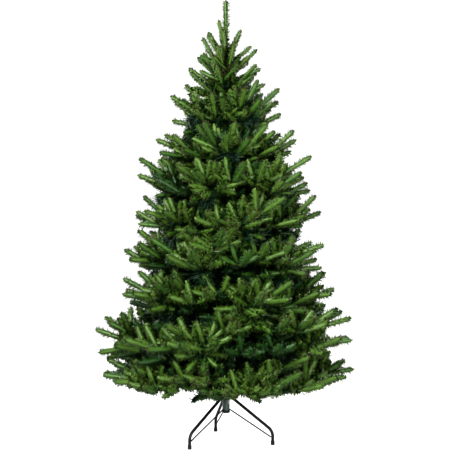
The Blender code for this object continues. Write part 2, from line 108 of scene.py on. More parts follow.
def makeMaterial(name, colour, roughness, grain, nearColours=None, more=()):
    # grain is what addGrain takes, nearColours are varyColour's two, and more is other sockets
    material = bpy.data.materials.new(name)
    material.use_nodes = True
    shader = material.node_tree.nodes["Principled BSDF"]
    settings = {"Base Color": linear(colour), "Roughness": roughness, "Metallic": 0.0, **dict(more)}
    for socket, value in settings.items():
        shader.inputs[socket].default_value = value
    noise = addGrain(material, shader, *grain)
    if nearColours:
        varyColour(material, shader, noise, *nearColours)
    return material


def aimAt(thing, place, target):
    thing.location = place
    thing.rotation_euler = (Vector(target) - Vector(place)).to_track_quat("-Z", "Y").to_euler()


print("camera, floor and light")
camera = bpy.data.objects.new("camera", bpy.data.cameras.new("camera"))
camera.data.lens = view["lens"]
camera.location = view["cameraAt"]
camera.rotation_euler = (math.pi / 2, 0, 0)
scene.collection.objects.link(camera)
scene.camera = camera
scene.view_settings.view_transform = "Standard"
scene.view_settings.look = "High Contrast"

world = bpy.data.worlds.new("studio")
world.use_nodes = True
world.node_tree.nodes["Background"].inputs["Color"].default_value = linear(view["skyColour"])
world.node_tree.nodes["Background"].inputs["Strength"].default_value = view["skyStrength"]
scene.world = world

for name, place, target, size, watts in softboxes:
    lamp = bpy.data.lights.new(name, "AREA")
    lamp.size = size
    lamp.energy = watts
    softbox = bpy.data.objects.new(name, lamp)
    aimAt(softbox, place, target)
    scene.collection.objects.link(softbox)

floorHalf = view["floorSize"] / 2
corners = [(x * floorHalf, y * floorHalf, 0) for x, y in ((-1, -1), (1, -1), (1, 1), (-1, 1))]
floorMesh = bpy.data.meshes.new("studio_floor")
floorMesh.from_pydata(corners, [], [(0, 1, 2, 3)])
floor = bpy.data.objects.new("studio_floor", floorMesh)
scene.collection.objects.link(floor)
# opal sheet of a light table: matt, with a faint texture
glow = {"Emission Color": linear("#ffffff"), "Emission Strength": view["floorGlow"]}
opalSheet = makeMaterial("matt_opal_acrylic", view["floorColour"], 0.9, (4.0, 0.02), more=glow)
floorMesh.materials.append(opalSheet)


# Meshes are gathered as triangles, each with the number of its material

class Heap:
    def __init__(self):
        self.points, self.faces, self.tones, self.normals, self.count = [], [], [], [], 0

    def add(self, points, faces, tones, normals=None):
        faces = np.asarray(faces)
        self.points.append(np.asarray(points, float).reshape(-1, 3))
        self.faces.append(faces + self.count)
        self.tones.append(np.broadcast_to(tones, len(faces)))
        self.count += len(self.points[-1])
        if normals is not None:
            self.normals.append(normals)

    def piece(self, name, materials, slot, replaced=(), smoothAngle=None):
        points, faces = np.concatenate(self.points), np.concatenate(self.faces)
        mesh = bpy.data.meshes.new(name)
        mesh.vertices.add(len(points))
        mesh.vertices.foreach_set("co", points.ravel())
        mesh.loops.add(faces.size)
        mesh.loops.foreach_set("vertex_index", faces.ravel())
        mesh.polygons.add(len(faces))
        mesh.polygons.foreach_set("loop_start", np.arange(0, faces.size, 3))
        mesh.polygons.foreach_set("material_index", np.concatenate(self.tones))
        for material in materials:
            mesh.materials.append(material)
        mesh.update(calc_edges=True)
        if smoothAngle:
            mesh.shade_smooth()
            mesh.set_sharp_from_angle(angle=math.radians(smoothAngle))
        elif self.normals:
            mesh.shade_smooth()
            mesh.attributes.new("custom_normal", "FLOAT_VECTOR", "POINT")
            mesh.attributes["custom_normal"].data.foreach_set("vector", np.concatenate(self.normals).ravel())
        else:
            mesh.shade_flat()
        made = bpy.data.objects.new(name, mesh)
        scene.collection.objects.link(made)
        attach(made, "root")
        if replaced:
            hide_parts(*replaced)
        print(f"  {name}: {len(faces)} triangles")


def ringFaces(rings, sides, closed=False):
    # the triangles between neighbouring rings of a tube
    ring, side = np.meshgrid(np.arange(rings if closed else rings - 1), np.arange(sides), indexing="ij")
    low, high = ring * sides, (ring + 1) % rings * sides
    after = (side + 1) % sides
    a, b, c, d = low + side, low + after, high + after, high + side
    return np.concatenate([np.stack([a, b, c], -1).reshape(-1, 3), np.stack([a, c, d], -1).reshape(-1, 3)])


def fanFaces(first, sides, centre, outward):
    # the triangles that close a tube's end
    side = np.arange(sides)
    after = (side + 1) % sides
    rim = [first + side, first + after] if outward else [first + after, first + side]
    return np.stack([*rim, np.full(sides, centre)], -1)


def addTube(heap, points, radii, sides, tone, ridge=None):
    # a round bar along points, closed at both ends. ridge is (pitch, height) of a spiral on it
    points = [Vector(point) for point in points]
    rings, across = [], None
    travelled = 0.0
    for number, (point, radius) in enumerate(zip(points, radii)):
        ahead = points[min(number + 1, len(points) - 1)] - points[max(number - 1, 0)]
        ahead.normalize()
        if across is None:
            across = ahead.orthogonal().normalized()
        across = (across - ahead * across.dot(ahead)).normalized()
        other = ahead.cross(across)
        if number:
            travelled += (point - points[number - 1]).length
        for side in range(sides):
            angle = math.tau * side / sides
            wide = radius
            if ridge:
                wide += ridge[1] * max(0.0, math.cos(angle - math.tau * travelled / ridge[0]))
            rings.append(point + wide * (math.cos(angle) * across + math.sin(angle) * other))
    count = len(points)
    rings += [points[0], points[-1]]
    faces = np.concatenate([
        ringFaces(count, sides),
        fanFaces(0, sides, count * sides, False),
        fanFaces((count - 1) * sides, sides, count * sides + 1, True),
    ])
    heap.add(np.array([tuple(p) for p in rings]), faces, tone)


def addLathe(heap, profile, sides, tone, place=(0, 0, 0), axis=upward):
    # a turned solid from (radius, height) pairs, which start and end on the axis
    angle = np.arange(sides) * math.tau / sides
    inner = [(radius, height) for radius, height in profile if radius > 0]
    rings = [np.stack([r * np.cos(angle), r * np.sin(angle), np.full(sides, h)], -1) for r, h in inner]
    points = np.concatenate([*rings, [[0, 0, profile[0][1]], [0, 0, profile[-1][1]]]])
    turn = np.array(Vector(axis).to_track_quat("Z", "Y").to_matrix())
    last = len(inner) * sides
    faces = np.concatenate([
        ringFaces(len(inner), sides),
        fanFaces(0, sides, last, False),
        fanFaces(last - sides, sides, last + 1, True),
    ])
    heap.add(points @ turn.T + np.array(place), faces, tone)


def addTorus(heap, centre, axis, ringRadius, wireRadius, tone, sides=20, wireSides=8):
    turn = np.array(Vector(axis).to_track_quat("Z", "Y").to_matrix())
    around, tube = np.meshgrid(np.arange(sides), np.arange(wireSides), indexing="ij")
    around, tube = around * math.tau / sides, tube * math.tau / wireSides
    reach = ringRadius + wireRadius * np.cos(tube)
    points = np.stack([reach * np.cos(around), reach * np.sin(around), wireRadius * np.sin(tube)], -1)
    faces = ringFaces(sides, wireSides, closed=True)
    heap.add(points.reshape(-1, 3) @ turn.T + np.array(centre), faces, tone)


def addBox(heap, centre, axes, sizes, tone):
    # a plate: its three axes are unit vectors
    corners = []
    for third in (-1, 1):
        for first, second in ((-1, -1), (1, -1), (1, 1), (-1, 1)):
            halves = (axis * size / 2 * sign for axis, size, sign in zip(axes, sizes, (first, second, third)))
            corners.append(tuple(Vector(centre) + sum(halves, Vector())))
    quads = ((0, 3, 2, 1), (4, 5, 6, 7), (0, 1, 5, 4), (1, 2, 6, 5), (2, 3, 7, 6), (3, 0, 4, 7))
    faces = [half for a, b, c, d in quads for half in ((a, b, c), (a, c, d))]
    heap.add(corners, faces, tone)


# The crown's shape, by the same rule as the solids

crown = {
    "height": 2.10,
    "reach": 0.625,
    "outlinePower": 0.72,  # below 1, the outline bulges
    "tiers": 8,
    "firstTipHeight": 0.34,
    "tierStep": 0.20,
    "tierStepLoss": 0.0028,  # each step up is a little smaller
    "tierTrim": (0.98, 1.0, 0.91, 0.95, 1.0, 1.07, 1.0, 1.0),  # shares of the outline's reach
    "boughsInTier": (5, 5, 5, 5, 5, 5, 4, 4),
    "lowestRise": math.radians(4),
    "riseStep": math.radians(3.5),
    "tierTurn": math.radians(36),  # of every second tier
    "undersideDrop": 0.072,  # the lowest tier's space ends this far below its middle
    "undersideAtPole": 0.128,  # the lowest hands and strips keep above a limit that rises outwards
    "undersideSlope": 0.334,
    "clearance": 0.002,
    "seed": 11,
}
fan = {
    # each spray's place: shares of the fan's half-width, reach and half-thickness
    "sprays": (
        (0.42, 0.985, 0.50), (-0.45, 0.975, -0.40), (0.86, 0.94, -0.30), (-0.84, 0.95, 0.35),
        (0.62, 0.86, 0.90), (-0.22, 0.86, 0.92), (0.20, 0.90, -0.85), (-0.70, 0.84, -0.80),
        (-0.66, 0.80, 0.90), (0.64, 0.80, -0.84), (0.16, 0.70, 0.96),
    ),
    "spraysInTier": (11, 11, 10, 10, 9, 9, 9, 8),
    # how many side tips each spray has. Hands with more than the middle number are open and painted lighter,
    # and those with fewer are painted darker, as shade
    "sideTips": (6, 6, 3, 4, 4, 6, 5, 3, 2, 2, 2),
    "middleTips": 3,
    "mostTips": (6, 6, 6, 6, 6, 6, 3, 3),  # in each tier
    # coarser hands nearer to the pole, placed as the sprays are
    "innerHands": (
        (0.02, 0.72, -0.95), (-0.60, 0.70, 0.50), (0.38, 0.56, 0.94), (0.90, 0.66, 0.95),
        (-0.92, 0.64, -0.95), (-0.10, 0.44, 0.90), (0.50, 0.42, -0.90), (0.98, 0.60, 0.0),
    ),
    "innerTips": 2,
    "innerShift": 0.6,  # they follow this much of their bough's own shift
    "innerTurn": 0.08,
    "innerFoot": 0.30,  # and leave the stem this share of it before their own place
    "innerRadii": (0.0028, 0.0022),
    # twigs of foil only, whose near-black strips fill the inside as painted shade:
    # the share of the stem where each starts, how long it is, its angle round the stem
    "foilTwigs": (
        (0.04, 1.0, 15), (0.06, 1.0, -170), (0.16, 1.0, -10), (0.18, 1.0, 165), (0.10, 0.25, 80),
        (0.14, 0.85, -100), (0.22, 0.30, -60), (0.26, 0.80, 120), (0.34, 0.20, 30), (0.38, 0.90, 170),
        (0.46, 0.25, -35), (0.50, 0.85, -150), (0.52, 0.5, 5), (0.54, 0.5, -175), (0.10, 1.0, 0),
        (0.12, 1.0, 180), (0.28, 1.0, 10), (0.30, 1.0, -170), (0.42, 1.0, -5), (0.44, 1.0, 175),
    ),
    "foilTurn": 20,
    "foilWay": (0.6, 0.8),  # along the stem and out from it
    "foilReach": (0.09, 0.05),  # of every foil twig, and how much more a whole length adds
    "liftShifts": (-0.36, -0.18, 0.0, 0.18, 0.36),  # boughs sit a little higher or lower in turn
    "ownShift": 0.34,  # and so does each hand by itself
    "behind": 0.09,  # the hands painted darker as shade end further in, by this share of the reach
    "farLift": 0.7,  # hands above or below this lift are a tier's highest and lowest
    # how far those reach past the solids' sprays in each tier, or before them where it is below 0
    "farReach": (0.04, 0.05, 0.03, -0.02, -0.08, -0.09, -0.09, -0.06),
    "lowestHang": 0.45,  # the lowest tier's lowest inner hands hang this much further down
    "turnJitter": 0.05,
    "reachJitter": (0.97, 1.02),
    "liftJitter": (-0.05, 0.03),
    "radiusJitter": (0.9, 1.0),
    "twigAngle": math.radians(42),
    "twigStart": 0.02,
    "sprayLength": 0.20,
    "mostOfReach": 0.62,
    "longFrom": 0.20,  # sprays longer than this end in a long tip
    "innerCorners": 42,  # random draws that the solids' inner foliage takes first
    "upperFrom": 4,  # tiers from this one on, counted from 0, have slimmer tips
    "stemSteps": 42,
    "stemEndsBefore": 0.16,  # the wrapped stem stops this far before the fan's end
    "stemRadius": 0.0052,
    "stemTaper": 0.0022,  # and is this much thinner there
    "tapeRidge": (0.018, 0.0007),  # pitch and height of the tape's spiral
    "twigRadii": (0.0030, 0.0026, 0.0022),
    "wrapRadii": (0.0030, 0.0036, 0.0052),  # thicker where many tips are wound on
    "palmShare": 0.75,  # where the second of these radii sits
    "stemFoil": (0.04, 0.62),  # the part of the stem that has foil
    "twigFoil": 0.35,  # and the part of each twig
    "collarRadius": 0.024,
}
leader = {
    # height on the stem, reach and height of the tips, side tips of each hand
    "whorls": (
        (1.600, 0.200, 1.715, 2), (1.650, 0.190, 1.790, 2),
        (1.720, 0.150, 1.880, 1), (1.815, 0.090, 1.965, 0),
    ),
    "whorlSprays": 5,
    "lifts": (-0.012, 0.028),
    "turnJitter": 0.1,
    "reachJitter": (0.94, 1.02),
    # single tips between, which fill round the stem
    "fillers": (
        (1.600, 0.170, 1.690, 0), (1.640, 0.160, 1.745, 0), (1.690, 0.165, 1.790, 0),
        (1.735, 0.140, 1.835, 0), (1.780, 0.120, 1.895, 0), (1.810, 0.070, 1.925, 0),
        (1.640, 0.080, 1.760, 0), (1.720, 0.070, 1.850, 0),
    ),
    # the stem's own upright tips: how many of its lengths each starts below a level, its shape and its tones
    "uprightTips": (
        ("top", 1.0, 0, (5, 2, 5, 1, 1)),
        ("waist", 0.75, 1, (2, 6, 5, 1, 7)),
        ("waist", 1.3, 2, (2, 6, 5, 1, 7)),
        ("waist", 1.85, 2, (2, 1, 2, 1, 1)),
        ("waist", 2.4, 2, (2, 1, 2, 1, 1)),
    ),
    "foot": 1.5703,
    "waist": 1.965,  # where the stem's second radius sits
    "stemEndsBefore": 0.02,
    "stemRadii": (0.0048, 0.0034, 0.0015),
    "twigRadii": (0.0026, 0.0022),
    "foilTo": 1.70,
}


def tierOf(number):
    # how far a tier reaches, how steeply it rises, and its height at the pole
    tipHeight = crown["firstTipHeight"] + crown["tierStep"] * number - crown["tierStepLoss"] * number**2
    widest = crown["firstTipHeight"] + crown["tierStep"]
    share = min(1.0, (crown["height"] - tipHeight) / (crown["height"] - widest))
    trim = crown["tierTrim"][number] if number < crown["tiers"] else 1.0
    reach = crown["reach"] * share ** crown["outlinePower"] * trim
    slope = math.tan(crown["lowestRise"] + crown["riseStep"] * number)
    return reach, slope, tipHeight - reach * slope


def surfaceHeight(number, radius):
    slope, collar = tierOf(number)[1:]
    return collar + slope * radius


def floorAndRoof(number, radius):
    # the lowest and highest point of a tier's own space
    middle = surfaceHeight(number, radius)
    low, high = middle - crown["undersideDrop"], crown["height"]
    if number > 0:
        low = (surfaceHeight(number - 1, radius) + middle) / 2
    if number < crown["tiers"]:
        high = (middle + surfaceHeight(number + 1, radius)) / 2
    return low + crown["clearance"], high - crown["clearance"]


def underside(radius):
    return crown["undersideAtPole"] + crown["undersideSlope"] * radius


def roundPlace(heading, radius, height):
    return Vector((radius * math.cos(heading), radius * math.sin(heading), height))


def placeIn(space, turn, radius, lift):
    number, heading, halfWidth = space
    middle = surfaceHeight(number, radius)
    low, high = floorAndRoof(number, radius)
    rise = (high - middle) if lift > 0 else (middle - low)
    return roundPlace(heading + turn * halfWidth, radius, middle + lift * rise)


def sideSprays(space, start, end, sprayLength, liftShift, rng, looks):
    number = space[0]
    reach = tierOf(number)[0]
    mirror = rng.choice((-1, 1))
    stem = (end - start).normalized()
    for turn, share, lift in fan["sprays"][:fan["spraysInTier"][number]]:
        turn = mirror * (turn + rng.uniform(-fan["turnJitter"], fan["turnJitter"]))
        radius = reach * share * rng.uniform(*fan["reachJitter"])
        lift += rng.uniform(*fan["liftJitter"])
        if abs(lift) > fan["farLift"]:
            radius *= 1 + fan["farReach"][number]
        lift += liftShift + looks.uniform(-1, 1) * fan["ownShift"]
        tip = placeIn(space, turn, radius, lift)
        along = (tip - start).dot(stem)
        aside = (tip - start - stem * along).length
        along -= aside / math.tan(fan["twigAngle"])
        along = min(max(along, fan["twigStart"]), (end - start).length - sprayLength)
        yield start + stem * along, tip, share, lift
        # the solids' rule draws each spray's thickness and roll here
        rng.uniform(*fan["radiusJitter"])
        rng.uniform(0, math.tau)


# One moulded tip, made once in a few lengths and then placed many times

needle = {
    "perMetre": {"fine": 1120, "coarse": 520},
    "width": {"fine": 0.0041, "coarse": 0.0057},
    "slimness": {"lower": 1.04, "upper": 0.93, "leader": 0.68},  # of the needles' length and the web
    "longest": 0.0285,
    "shortest": 0.0150,
    "widestAt": 0.66,
    "bend": 0.10,  # how far the middle stands off its chord, as a share of the length
    "rollJitter": 1.1,  # turns a needle about its own length
    "aroundJitter": 0.25,
    "baseSweep": math.radians(60),  # how far the needles stand off the tip's axis
    "endSweep": math.radians(12),
    "roundFrom": 0.90,  # where the tip starts to draw in
    "roundShare": 0.18,  # of the needles stand on the rounded end
    "sweepJitter": 0.20,
    "lengthJitter": 0.17,
    "fullFrom": 0.06,  # needles before this share of the tip are shorter, down to the next number
    "firstLength": 0.55,
    "stemRadius": 0.0019,
    "footInside": 0.6,  # needles start inside the stem, at this share of its radius
    "endShare": 0.91,  # where the last needles sit
    "secondToneShare": 0.14,
    "endToneFrom": 0.78,  # with a spread, so that the end's tone comes in gradually
    "endToneSpread": 0.22,
    "footToneTo": 0.30,  # needles nearer to the palm have the foot's tone, a painted shade
    "footToneSpread": 0.12,
    "stemAt": (0, 0.5, 0.96),  # the stem's points, as shares of the tip's length
    "stemMiddle": 0.8,  # its radius there, as a share of that at its foot
    "stemEnd": 0.0008,
    "stemSides": 3,
    "bud": (0.0024, 0.003, 0.008),  # widest radius, and how far it and the end lie from the foot
    # the way a needle is lit: as part of the round tip, of the crown, and by its own plane
    "normalShares": (0.82, 0.14, 0.14),
    "endOutward": 1.2,  # how far the rounded end's own direction leans ahead
    "crownRise": 0.12,  # the crown's way out at a tip: outwards by its distance from the pole, up by this
    "crownFacing": 0.8,  # how much a needle's front looks out of the crown, against out of the tip
    # the moulded web at the needles' feet: shares of the length and radii
    "web": ((0.04, 0.003), (0.26, 0.0116), (0.82, 0.0126), (0.92, 0.0095), (0.955, 0.002)),
    "webSides": 5,
    "bendsTo": 1.2,  # needles past the tip's end bend on as far as this share of its length
    "nearlyUpright": 0.05,  # tips closer to upright than this bend to any side
}
tipLengths = {"long": 0.168, "middle": 0.134, "short": 0.110}
shapesPerLength = 3


def makeTip(length, slimness, fineness, rng):
    # a tip that points up from the origin. slimness scales the needles and the web
    count = int(needle["perMetre"][fineness] * length)
    order = (np.arange(count) + 0.5) / count
    along = np.interp(order, (0, 1 - needle["roundShare"], 1), (0, needle["roundFrom"], 1))
    around = np.arange(count) * goldenAngle
    around += rng.uniform(-needle["aroundJitter"], needle["aroundJitter"], count)
    drawIn = np.clip((along - needle["roundFrom"]) / (1 - needle["roundFrom"]), 0, 1)
    sweep = needle["baseSweep"] + (needle["endSweep"] - needle["baseSweep"]) * drawIn
    sweep += rng.uniform(-needle["sweepJitter"], needle["sweepJitter"], count)
    size = needle["longest"] + (needle["shortest"] - needle["longest"]) * drawIn
    size *= slimness * (1 + rng.uniform(-needle["lengthJitter"], needle["lengthJitter"], count))
    size *= np.clip(along / needle["fullFrom"], needle["firstLength"], 1.0)
    out = np.stack([np.cos(around), np.sin(around), np.zeros(count)], -1)
    tangent = np.stack([-np.sin(around), np.cos(around), np.zeros(count)], -1)
    axis = np.array([0.0, 0.0, 1.0])
    direction = np.cos(sweep)[:, None] * axis + np.sin(sweep)[:, None] * out
    normal = np.cross(tangent, direction)
    roll = rng.uniform(-needle["rollJitter"], needle["rollJitter"], count)[:, None]
    across = tangent * np.cos(roll) + normal * np.sin(roll)
    base = out * needle["stemRadius"] * needle["footInside"]
    base = base + axis * (along * needle["endShare"] * length)[:, None]
    middle = base + direction * (size * needle["widestAt"])[:, None]
    middle = middle - normal * (size * needle["bend"])[:, None]
    half = across * needle["width"][fineness] / 2
    end = base + direction * size[:, None]
    # which of its tip's tones each needle has: 0 for most, 1 for some, 2 for the end's, 3 for the foot's,
    # which is as dark as the main tone or darker, painted shade deep in the tip
    kinds = (rng.random(count) < needle["secondToneShare"]).astype(int)
    spread = rng.uniform(-1, 1, count)
    kinds[along + spread * needle["endToneSpread"] > needle["endToneFrom"]] = 2
    kinds[along + spread * needle["footToneSpread"] < needle["footToneTo"]] = 3
    sides = needle["webSides"]
    turn = np.arange(sides) * math.tau / sides
    ring = np.stack([np.cos(turn), np.sin(turn), np.zeros(sides)], -1)
    web = [ring * radius * slimness + axis * share * length for share, radius in needle["web"]]
    return {
        "web": np.concatenate(web),
        "webOut": np.tile(ring, (len(web), 1)),
        "points": np.stack([base, middle + half, end, middle - half], 1),
        "planes": np.cross(direction, across),
        "outward": out + axis * (drawIn * needle["endOutward"])[:, None],
        "kinds": np.stack([np.full(count, 3), kinds], 1).ravel(),  # a needle's base has the foot's, painted shade
        "length": length,
    }


def unit(vectors):
    return vectors / np.linalg.norm(vectors, axis=-1, keepdims=True)


def placeTip(heaps, shape, foot, direction, bend, size, tones):
    # tones are numbers in needleTones: of most needles, of some, of the tip's end, of its foot, a painted
    # shade, and of its web
    axis = Vector(direction).normalized()
    lift = upward - axis * upward.dot(axis)
    lift = lift.normalized() if lift.length > needle["nearlyUpright"] else axis.orthogonal().normalized()
    side = lift.cross(axis)
    turn = np.array([side, lift, axis])
    points = shape["points"] * size
    along = points[..., 2:3] / (shape["length"] * size)
    points = points + np.array([0, 1, 0]) * (bend * np.clip(along, 0, needle["bendsTo"]) ** 2)
    world = points @ turn + np.array(foot)
    # every needle's front is the side that looks out of the tip and out of the crown
    planes, outward = shape["planes"] @ turn, unit(shape["outward"] @ turn)
    crownward = unit(np.array([foot[0], foot[1], needle["crownRise"]]))
    facing = np.sum(planes * (outward + needle["crownFacing"] * crownward), 1)
    planes[facing < 0] *= -1
    world[facing < 0] = world[facing < 0][:, [0, 3, 2, 1]]
    ofTip, ofCrown, ofPlane = needle["normalShares"]
    normals = unit(outward * ofTip + crownward * ofCrown + planes * ofPlane)
    quads = np.arange(len(world))[:, None] * 4
    faces = np.concatenate([quads + [0, 3, 1], quads + [1, 3, 2]], 1).reshape(-1, 3)
    heaps["needles"].add(world, faces, np.array(tones)[shape["kinds"]], np.repeat(normals, 4, 0))
    web = shape["web"] * size
    web = web + np.array([0, 1, 0]) * (bend * (web[:, 2:3] / (shape["length"] * size)) ** 2)
    sides = needle["webSides"]
    webFaces = ringFaces(len(web) // sides, sides)
    webNormals = unit(shape["webOut"] @ turn * ofTip + crownward * ofCrown)
    heaps["needles"].add(web @ turn + np.array(foot), webFaces, tones[4], webNormals)
    length = shape["length"] * size
    spine = [Vector(foot) + axis * (length * at) + lift * (bend * at**2) for at in needle["stemAt"]]
    radii = [needle["stemRadius"], needle["stemRadius"] * needle["stemMiddle"], needle["stemEnd"]]
    addTube(heaps["twigs"], spine, radii, needle["stemSides"], 1)
    budAt = spine[-1]
    way = (spine[-1] - spine[-2]).normalized()
    across = way.orthogonal().normalized()
    other = way.cross(across)
    wide, swell, budLength = (value * size for value in needle["bud"])
    middle = budAt + way * swell
    angles = (0, math.tau / 3, 2 * math.tau / 3)
    ring = [middle + wide * (math.cos(angle) * across + math.sin(angle) * other) for angle in angles]
    bud = [budAt - way * swell, *ring, budAt + way * budLength]
    budFaces = [(0, 2, 1), (0, 3, 2), (0, 1, 3), (4, 1, 2), (4, 2, 3), (4, 3, 1)]
    heaps["twigs"].add([tuple(p) for p in bud], budFaces, 2)


# A hand is what one spray of the solids stands for: an end tip and tips at its sides

hand = {
    # each side tip: how far behind the end tip's foot, angle round the hand, angle out, share of its length
    "sideTips": (
        (0.024, 86, 60, 1.0), (0.030, -88, 60, 0.98), (0.022, 30, 56, 0.98),
        (0.034, -36, 58, 0.96), (0.040, 62, 64, 0.92), (0.048, -62, 64, 0.92),
    ),
    "aroundJitter": 8,
    "outJitter": 6,
    "sizeJitter": (0.95, 1.0),
    "sideJitter": (0.92, 1.05),
    "bend": (0.004, 0.016),
    "mostBack": 0.6,  # no side tip starts further down the twig than this share of it
    "tries": 5,  # a side tip that has no room turns round the hand by this many degrees
    "tryTurn": 55,
    "outwardShare": 0.7,  # how strongly a hand turns away from the pole
    "outwardRise": (0.19, 0.16, 0.025),  # at the middle, with its lift, and with each tier
    "liftedShare": 0.62,  # these hands are bent up further, by this much
    "liftedBy": (0.35, 0.8),
    "hangingBelow": -0.6,  # hands with less lift than this one aren't bent up, and open downwards a little
    "hangingOpen": -0.4,
    "aboveLimit": 0.012,  # the lowest tier's hands end at least this far above the crown's limit
    "footRoom": 0.01,  # a tip shrinks until its foot keeps this far from the twig's foot
    "roomOver": 0.05,  # how far a side tip may stand past its tier's space
    "reachOver": 1.03,  # and how far out, as a share of the tier's reach
}
shades = {
    # painted light and shade: what makes a hand lighter is how far out it ends, its lift, its tier,
    # and being an open one; hands further in, lower or closed get darker tones as painted shade
    "farFrom": 0.7,
    "farSpan": 0.3,
    "farLight": 0.4,
    "liftLight": 0.1,
    "tierLight": (0.30, 0.12, 0.14, 0.20, 0.24, 0.28, 0.32, 0.44),  # each tier's painted light, the lowest tier's first
    "openLight": 0.46,
    "jitter": 0.2,
    "middleFrom": 0.25,
    "lightFrom": 0.60,
    "lightestFrom": 1.12,
    # the tones that its tips may have, in the order that placeTip gives
    "dark": ((0, 1, 0, 0, 0), (1, 0, 0, 0, 0), (4, 0, 0, 4, 4)),
    "middle": ((1, 2, 5, 0, 1), (1, 0, 1, 0, 1), (1, 0, 0, 0, 0)),
    "light": ((2, 3, 2, 1, 7), (2, 3, 2, 0, 7), (2, 1, 1, 0, 7)),
    "lightest": (3, 2, 2, 1, 7),
    "openEnd": ((1, 2, 5, 0, 1), (2, 3, 5, 0, 7), (2, 1, 1, 0, 7)),
    "leader": ((2, 6, 5, 1, 7), (3, 5, 5, 1, 1), (6, 2, 5, 1, 7), (2, 3, 5, 0, 1)),
}


def keepsRoom(number, end):
    # whether a side tip ends near enough to its own tier's space
    radius = math.hypot(end.x, end.y)
    low, high = floorAndRoof(number, radius)
    if number == 0:
        low = underside(radius) + hand["roomOver"]
    farthest = tierOf(number)[0] * hand["reachOver"]
    return low - hand["roomOver"] < end.z < high + hand["roomOver"] and radius < farthest


def dealShadedTones(share, lift, number, openness, rng):
    # painted light and shade, with a random part: tones get lighter with reach, lift, tier and openness, and
    # darker as shade further in
    if number == crown["tiers"]:
        return rng.choice(shades["leader"])
    paintedLight = (share - shades["farFrom"]) / shades["farSpan"] * shades["farLight"]
    paintedLight += (lift + 1) / 2 * shades["liftLight"]
    paintedLight += shades["tierLight"][number]
    paintedLight += rng.uniform(-shades["jitter"], shades["jitter"])
    paintedLight += shades["openLight"] * openness
    if paintedLight > shades["lightestFrom"]:
        return shades["lightest"]
    if paintedLight > shades["lightFrom"]:
        return rng.choice(shades["light"])
    if paintedLight > shades["middleFrom"]:
        return rng.choice(shades["middle"])
    return rng.choice(shades["dark"])


def growHand(heaps, foot, tip, share, lift, number, build, sideTips, rng,
             lengthKind="long", fineness="fine", openness=-1):
    # openness is 1 for an open hand, 0 for a middle one and -1 for one painted dark as shade
    if number == 0:
        tip.z = max(tip.z, underside(tip.xy.length) + hand["aboveLimit"])
    hanging = lift <= hand["hangingBelow"]
    axis = (tip - foot).normalized()
    if number < crown["tiers"]:
        rise = sum(part * amount for part, amount in zip(hand["outwardRise"], (1, lift, number)))
        if rng.random() < hand["liftedShare"] and not hanging:
            rise += rng.uniform(*hand["liftedBy"])
        outward = Vector((tip.x, tip.y, tip.xy.length * rise)).normalized()
        axis = (axis + hand["outwardShare"] * outward).normalized()
    shape = rng.choice(tipShapes[build, lengthKind, fineness])
    reachable = (tip - foot).length
    size = min(1.0, reachable / (shape["length"] + hand["footRoom"])) * rng.uniform(*hand["sizeJitter"])
    palm = tip - axis * shape["length"] * size
    tones = dealShadedTones(share, lift, number, openness, rng)
    endTones = rng.choice(shades["openEnd"]) if openness == 1 else tones
    placeTip(heaps, shape, palm, axis, 0.0, size, endTones)
    tones = (*tones[:2], tones[0], *tones[3:])  # side tips have no end of another tone
    palmReach = max((palm - foot).length, hand["footRoom"])
    level = axis.cross(upward).normalized()
    raised = level.cross(axis) * (hand["hangingOpen"] if hanging else 1)
    sideKind = "middle" if lengthKind == "long" else "short"
    for back, around, out, ratio in hand["sideTips"][:sideTips]:
        for attempt in range(hand["tries"]):
            turned = around + rng.uniform(-1, 1) * hand["aroundJitter"] + attempt * hand["tryTurn"]
            turned = math.radians(turned)
            outward = math.radians(out + rng.uniform(-1, 1) * hand["outJitter"])
            aside = raised * math.cos(turned) + level * math.sin(turned)
            way = axis * math.cos(outward) + aside * math.sin(outward)
            start = palm.lerp(foot, min(back / palmReach, hand["mostBack"]))
            shape = rng.choice(tipShapes[build, sideKind, fineness])
            sideSize = ratio * size * rng.uniform(*hand["sideJitter"])
            end = start + way * shape["length"] * sideSize
            if keepsRoom(number, end):
                bend = rng.uniform(*hand["bend"])
                placeTip(heaps, shape, start, way, bend, sideSize, tones)
                break
    return palm


# Foil brush: the flat strips twisted into the inner part of each branch

foil = {
    "strip": 0.055,
    "stripJitter": (0.7, 1.1),
    "width": 0.0055,
    "glossWidth": 0.0022,  # paler strips are narrower, so that they only glint; their paler colour is partly a painted glint
    "glossShare": 0.12,
    "aboveLimit": 0.07,  # the lowest tier's strips end this far above the crown's limit
    "perMetreStem": 900,
    "perMetreTwig": 700,
    "spread": math.radians(62),
    "spreadJitter": 0.35,
    "fullReach": 0.50,  # smaller tiers have shorter foil twigs
}


